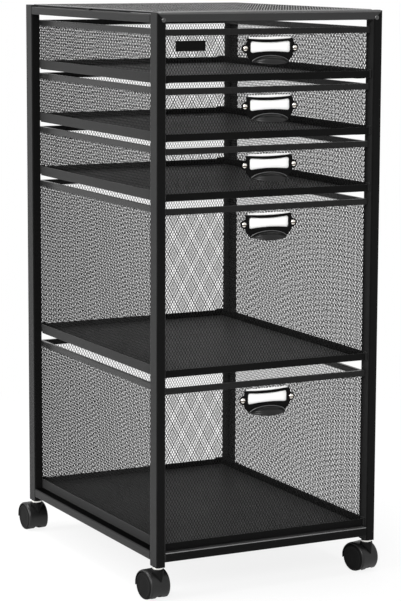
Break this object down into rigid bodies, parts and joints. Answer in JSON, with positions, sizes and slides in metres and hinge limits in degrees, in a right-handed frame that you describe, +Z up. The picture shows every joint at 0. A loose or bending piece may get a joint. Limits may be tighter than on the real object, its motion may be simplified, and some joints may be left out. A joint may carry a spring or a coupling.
{
  "type": "mobile file cart",
  "caption": "Rolling file cart: a black steel tube frame on twin-wheel casters holds shallow and deep mesh drawers with label-holder cup pulls under a flat mesh top.",
  "frame": {"origin": "On the floor, in the middle of the cart's outline seen from above.", "axes": "+Z up, the drawers open towards -Y, +X to the right of someone facing the drawers."},
  "size_m": [0.3318, 0.429, 0.719],
  "materials": {
    "frame_coat": "satin black powder coat on steel tube and angle",
    "top_mesh": "satin black powder coat on expanded steel mesh",
    "drawer_coat": "satin black powder coat on folded steel sheet",
    "drawer_mesh": "satin black powder coat on expanded steel mesh",
    "pull_coat": "semi-gloss black coat on pressed steel",
    "caster_plastic": "fine-grained black moulded nylon",
    "caster_tread": "hard black nylon",
    "axle_steel": "plain steel"
  },
  "bodies": {
    "frame": {"post_front_left": "frame_coat", "post_front_right": "frame_coat", "post_rear_left": "frame_coat", "post_rear_right": "frame_coat", "top_rail_front": "frame_coat", "bottom_rail_front": "frame_coat", "top_rail_back": "frame_coat", "bottom_rail_back": "frame_coat", "top_rail_left": "frame_coat", "bottom_rail_left": "frame_coat", "top_rail_right": "frame_coat", "bottom_rail_right": "frame_coat", "top_panel": "top_mesh", "runner_1_left": "frame_coat", "runner_1_right": "frame_coat", "runner_2_left": "frame_coat", "runner_2_right": "frame_coat", "runner_3_left": "frame_coat", "runner_3_right": "frame_coat", "runner_4_left": "frame_coat", "runner_4_right": "frame_coat", "runner_5_left": "frame_coat", "runner_5_right": "frame_coat"},
    "drawer_1": {"drawer_1_tray": "drawer_coat", "drawer_1_mesh": "drawer_mesh", "drawer_1_rim": "drawer_coat", "drawer_1_pull": "pull_coat"},
    "drawer_2": {"drawer_2_tray": "drawer_coat", "drawer_2_mesh": "drawer_mesh", "drawer_2_rim": "drawer_coat", "drawer_2_pull": "pull_coat"},
    "drawer_3": {"drawer_3_tray": "drawer_coat", "drawer_3_mesh": "drawer_mesh", "drawer_3_rim": "drawer_coat", "drawer_3_pull": "pull_coat"},
    "drawer_4": {"drawer_4_tray": "drawer_coat", "drawer_4_mesh": "drawer_mesh", "drawer_4_rim": "drawer_coat", "drawer_4_pull": "pull_coat"},
    "drawer_5": {"drawer_5_tray": "drawer_coat", "drawer_5_mesh": "drawer_mesh", "drawer_5_rim": "drawer_coat", "drawer_5_pull": "pull_coat"},
    "caster_front_left": {"caster_front_left_hood": "caster_plastic", "caster_front_left_axle": "axle_steel"},
    "caster_front_left_wheel_left": {"caster_front_left_wheel_left": "caster_tread"},
    "caster_front_left_wheel_right": {"caster_front_left_wheel_right": "caster_tread"},
    "caster_front_right": {"caster_front_right_hood": "caster_plastic", "caster_front_right_axle": "axle_steel"},
    "caster_front_right_wheel_left": {"caster_front_right_wheel_left": "caster_tread"},
    "caster_front_right_wheel_right": {"caster_front_right_wheel_right": "caster_tread"},
    "caster_rear_left": {"caster_rear_left_hood": "caster_plastic", "caster_rear_left_axle": "axle_steel"},
    "caster_rear_left_wheel_left": {"caster_rear_left_wheel_left": "caster_tread"},
    "caster_rear_left_wheel_right": {"caster_rear_left_wheel_right": "caster_tread"},
    "caster_rear_right": {"caster_rear_right_hood": "caster_plastic", "caster_rear_right_axle": "axle_steel"},
    "caster_rear_right_wheel_left": {"caster_rear_right_wheel_left": "caster_tread"},
    "caster_rear_right_wheel_right": {"caster_rear_right_wheel_right": "caster_tread"}
  },
  "joints": [
    {"name": "drawer_1_slide", "type": "slide", "parent": "frame", "child": "drawer_1", "axis": [0, -1, 0], "range_m": [0, 0.28]},
    {"name": "drawer_2_slide", "type": "slide", "parent": "frame", "child": "drawer_2", "axis": [0, -1, 0], "range_m": [0, 0.28]},
    {"name": "drawer_3_slide", "type": "slide", "parent": "frame", "child": "drawer_3", "axis": [0, -1, 0], "range_m": [0, 0.28]},
    {"name": "drawer_4_slide", "type": "slide", "parent": "frame", "child": "drawer_4", "axis": [0, -1, 0], "range_m": [0, 0.28]},
    {"name": "drawer_5_slide", "type": "slide", "parent": "frame", "child": "drawer_5", "axis": [0, -1, 0], "range_m": [0, 0.28]},
    {"name": "caster_front_left_swivel", "type": "hinge", "parent": "frame", "child": "caster_front_left", "pos_m": [-0.14844, -0.19778, 0.0428], "axis": [0, 0, 1], "continuous": true},
    {"name": "caster_front_left_wheel_left_spin", "type": "hinge", "parent": "caster_front_left", "child": "caster_front_left_wheel_left", "pos_m": [-0.14978, -0.18687, 0.0175], "axis": [0.9925, 0.1219, 0], "continuous": true},
    {"name": "caster_front_left_wheel_right_spin", "type": "hinge", "parent": "caster_front_left", "child": "caster_front_left_wheel_right", "pos_m": [-0.14978, -0.18687, 0.0175], "axis": [0.9925, 0.1219, 0], "continuous": true},
    {"name": "caster_front_right_swivel", "type": "hinge", "parent": "frame", "child": "caster_front_right", "pos_m": [0.15056, -0.19778, 0.0428], "axis": [0, 0, 1], "continuous": true},
    {"name": "caster_front_right_wheel_left_spin", "type": "hinge", "parent": "caster_front_right", "child": "caster_front_right_wheel_left", "pos_m": [0.1479, -0.18711, 0.0175], "axis": [0.9703, 0.2419, 0], "continuous": true},
    {"name": "caster_front_right_wheel_right_spin", "type": "hinge", "parent": "caster_front_right", "child": "caster_front_right_wheel_right", "pos_m": [0.1479, -0.18711, 0.0175], "axis": [0.9703, 0.2419, 0], "continuous": true},
    {"name": "caster_rear_left_swivel", "type": "hinge", "parent": "frame", "child": "caster_rear_left", "pos_m": [-0.14844, 0.18222, 0.0428], "axis": [0, 0, 1], "continuous": true},
    {"name": "caster_rear_left_wheel_left_spin", "type": "hinge", "parent": "caster_rear_left", "child": "caster_rear_left_wheel_left", "pos_m": [-0.14882, 0.19321, 0.0175], "axis": [0.9994, 0.0349, 0], "continuous": true},
    {"name": "caster_rear_left_wheel_right_spin", "type": "hinge", "parent": "caster_rear_left", "child": "caster_rear_left_wheel_right", "pos_m": [-0.14882, 0.19321, 0.0175], "axis": [0.9994, 0.0349, 0], "continuous": true},
    {"name": "caster_rear_right_swivel", "type": "hinge", "parent": "frame", "child": "caster_rear_right", "pos_m": [0.15056, 0.18222, 0.0428], "axis": [0, 0, 1], "continuous": true},
    {"name": "caster_rear_right_wheel_left_spin", "type": "hinge", "parent": "caster_rear_right", "child": "caster_rear_right_wheel_left", "pos_m": [0.14922, 0.19313, 0.0175], "axis": [0.9925, 0.1219, 0], "continuous": true},
    {"name": "caster_rear_right_wheel_right_spin", "type": "hinge", "parent": "caster_rear_right", "child": "caster_rear_right_wheel_right", "pos_m": [0.14922, 0.19313, 0.0175], "axis": [0.9925, 0.1219, 0], "continuous": true}
  ]
}
